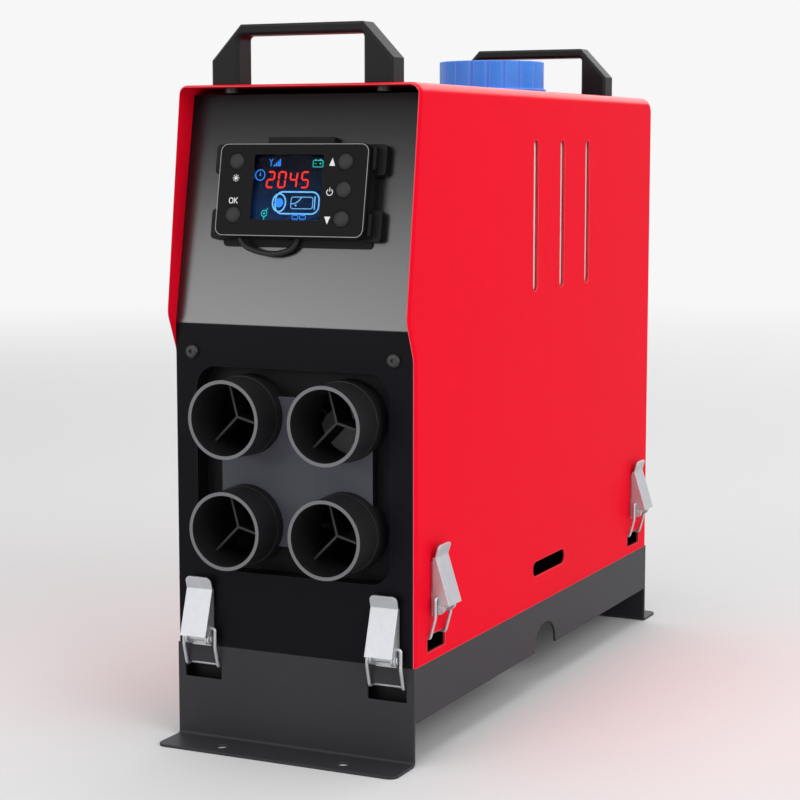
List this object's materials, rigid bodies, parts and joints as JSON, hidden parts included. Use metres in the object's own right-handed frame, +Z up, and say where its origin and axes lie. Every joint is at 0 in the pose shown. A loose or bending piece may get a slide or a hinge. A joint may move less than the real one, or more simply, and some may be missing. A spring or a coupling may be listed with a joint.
{
  "type": "diesel air heater",
  "caption": "Portable box-shaped diesel air heater: red folded cover on a black tray, round outlet collars in front, sloped console, carrying loops, toggle latches, ribbed fuel cap.",
  "frame": {"origin": "on the floor under the middle of the base", "axes": "+Z up, front with the outlets and controller towards -Y, +X to the right seen from the front"},
  "size_m": [0.1732, 0.44, 0.404],
  "materials": {
    "red_paint": "satin powder coat",
    "black_paint": "satin powder coat",
    "black_metal": "black oxide",
    "black_moulding": "fine grained moulding",
    "button_rubber": "matt",
    "lead_sheath": "satin",
    "tank_plastic": "milky",
    "cap_blue": "satin gloss",
    "screen_glass": "clear",
    "screen_module": "gloss",
    "board_green": "satin",
    "bright_zinc": "bright zinc plate",
    "cast_aluminium": "as cast",
    "steel": "brushed",
    "fuel_hose": "translucent green hose"
  },
  "bodies": {
    "case": {"air_duct": "black_moulding", "base_tray": "black_paint", "blower_motor": "steel", "burner_tube": "steel", "circuit_board": "board_green", "control_back": "black_moulding", "control_cradle": "black_moulding", "control_face": "black_moulding", "control_lead": "lead_sheath", "control_unit": "black_moulding", "core_bracket": "black_paint", "display_lens": "screen_glass", "display_module": "screen_module", "exhaust_pipe": "steel", "front_panel": "black_paint", "fuel_lines": "fuel_hose", "fuel_pump": "steel", "fuel_tank": "tank_plastic", "glow_plug": "steel", "handle_screws": "black_metal", "handles": "black_moulding", "heat_exchanger": "cast_aluminium", "heater_case_lower": "black_moulding", "heater_case_upper": "black_moulding", "inlet_pipe": "steel", "intake_grille": "black_metal", "latch_plates": "bright_zinc", "latch_rivets": "bright_zinc", "lead_grommet": "button_rubber", "outer_cover": "red_paint", "outlet_manifold": "black_moulding", "outlet_tubes": "black_moulding", "panel_screws": "black_metal", "power_gland": "black_moulding", "pump_clip": "button_rubber", "rear_panel": "black_paint", "tank_shelf": "black_paint"},
    "lever_front_left": {"latch_lever_front_left": "bright_zinc"},
    "bail_front_left": {"latch_bail_front_left": "bright_zinc"},
    "lever_left_front": {"latch_lever_left_front": "bright_zinc"},
    "bail_left_front": {"latch_bail_left_front": "bright_zinc"},
    "lever_left_rear": {"latch_lever_left_rear": "bright_zinc"},
    "bail_left_rear": {"latch_bail_left_rear": "bright_zinc"},
    "lever_front_right": {"latch_lever_front_right": "bright_zinc"},
    "bail_front_right": {"latch_bail_front_right": "bright_zinc"},
    "lever_right_front": {"latch_lever_right_front": "bright_zinc"},
    "bail_right_front": {"latch_bail_right_front": "bright_zinc"},
    "lever_right_rear": {"latch_lever_right_rear": "bright_zinc"},
    "bail_right_rear": {"latch_bail_right_rear": "bright_zinc"},
    "seal": {"cap_seal": "button_rubber"},
    "cap": {"fuel_cap": "cap_blue"},
    "set_key": {"button_set": "button_rubber"},
    "ok_key": {"button_ok": "button_rubber"},
    "up_key": {"button_up": "button_rubber"},
    "power_key": {"button_power": "button_rubber"},
    "down_key": {"button_down": "button_rubber"},
    "rotor": {"drive_shaft": "steel", "fan_wheel": "black_moulding", "combustion_wheel": "cast_aluminium"},
    "plunger": {"pump_plunger": "steel"}
  },
  "joints": [
    {"name": "lever_front_left_swing", "type": "hinge", "parent": "case", "child": "lever_front_left", "pos_m": [-0.0583, -0.2, 0.06], "axis": [1, 0, 0], "range_deg": [0, 120]},
    {"name": "bail_front_left_swing", "type": "hinge", "parent": "lever_front_left", "child": "bail_front_left", "pos_m": [-0.0583, -0.199, 0.066], "axis": [1, 0, 0], "range_deg": [-138.5, 0]},
    {"name": "lever_left_front_swing", "type": "hinge", "parent": "case", "child": "lever_left_front", "pos_m": [-0.08, -0.1666, 0.085], "axis": [0, -1, 0], "range_deg": [0, 120]},
    {"name": "bail_left_front_swing", "type": "hinge", "parent": "lever_left_front", "child": "bail_left_front", "pos_m": [-0.079, -0.1666, 0.091], "axis": [0, -1, 0], "range_deg": [-138.5, 0]},
    {"name": "lever_left_rear_swing", "type": "hinge", "parent": "case", "child": "lever_left_rear", "pos_m": [-0.08, 0.1666, 0.085], "axis": [0, -1, 0], "range_deg": [0, 120]},
    {"name": "bail_left_rear_swing", "type": "hinge", "parent": "lever_left_rear", "child": "bail_left_rear", "pos_m": [-0.079, 0.1666, 0.091], "axis": [0, -1, 0], "range_deg": [-138.5, 0]},
    {"name": "lever_front_right_swing", "type": "hinge", "parent": "case", "child": "lever_front_right", "pos_m": [0.0583, -0.2, 0.06], "axis": [1, 0, 0], "range_deg": [0, 120]},
    {"name": "bail_front_right_swing", "type": "hinge", "parent": "lever_front_right", "child": "bail_front_right", "pos_m": [0.0583, -0.199, 0.066], "axis": [1, 0, 0], "range_deg": [-138.5, 0]},
    {"name": "lever_right_front_swing", "type": "hinge", "parent": "case", "child": "lever_right_front", "pos_m": [0.08, -0.1666, 0.085], "axis": [0, 1, 0], "range_deg": [0, 120]},
    {"name": "bail_right_front_swing", "type": "hinge", "parent": "lever_right_front", "child": "bail_right_front", "pos_m": [0.079, -0.1666, 0.091], "axis": [0, 1, 0], "range_deg": [-138.5, 0]},
    {"name": "lever_right_rear_swing", "type": "hinge", "parent": "case", "child": "lever_right_rear", "pos_m": [0.08, 0.1666, 0.085], "axis": [0, 1, 0], "range_deg": [0, 120]},
    {"name": "bail_right_rear_swing", "type": "hinge", "parent": "lever_right_rear", "child": "bail_right_rear", "pos_m": [0.079, 0.1666, 0.091], "axis": [0, 1, 0], "range_deg": [-138.5, 0]},
    {"name": "cap_lift", "type": "slide", "parent": "case", "child": "seal", "axis": [0, 0, 1], "range_m": [0, 0.01801]},
    {"name": "cap_turn", "type": "hinge", "parent": "seal", "child": "cap", "pos_m": [0, 0.085, 0.38], "axis": [0, 0, 1], "range_deg": [0, 1080]},
    {"name": "set_press", "type": "slide", "parent": "case", "child": "set_key", "axis": [0, 0.9839, -0.1788], "range_m": [0, 0.0007], "stiffness_N_per_m": 200},
    {"name": "ok_press", "type": "slide", "parent": "case", "child": "ok_key", "axis": [0, 0.9839, -0.1788], "range_m": [0, 0.0007], "stiffness_N_per_m": 200},
    {"name": "up_press", "type": "slide", "parent": "case", "child": "up_key", "axis": [0, 0.9839, -0.1788], "range_m": [0, 0.0007], "stiffness_N_per_m": 200},
    {"name": "power_press", "type": "slide", "parent": "case", "child": "power_key", "axis": [0, 0.9839, -0.1788], "range_m": [0, 0.0007], "stiffness_N_per_m": 200},
    {"name": "down_press", "type": "slide", "parent": "case", "child": "down_key", "axis": [0, 0.9839, -0.1788], "range_m": [0, 0.0007], "stiffness_N_per_m": 200},
    {"name": "blower_spin", "type": "hinge", "parent": "case", "child": "rotor", "pos_m": [0, 0.1, 0.1573], "axis": [0, 1, 0], "continuous": true},
    {"name": "pump_stroke", "type": "slide", "parent": "case", "child": "plunger", "axis": [0, 1, 0], "range_m": [0, 0.002], "stiffness_N_per_m": 150}
  ],
  "couplings": [
    {"joint": "bail_front_left_swing", "follows": "lever_front_left_swing", "ratio": -1.15},
    {"joint": "bail_left_front_swing", "follows": "lever_left_front_swing", "ratio": -1.15},
    {"joint": "bail_left_rear_swing", "follows": "lever_left_rear_swing", "ratio": -1.15},
    {"joint": "bail_front_right_swing", "follows": "lever_front_right_swing", "ratio": -1.15},
    {"joint": "bail_right_front_swing", "follows": "lever_right_front_swing", "ratio": -1.15},
    {"joint": "bail_right_rear_swing", "follows": "lever_right_rear_swing", "ratio": -1.15},
    {"joint": "cap_lift", "follows": "cap_turn", "m_per_rad": 0.00095493}
  ]
}
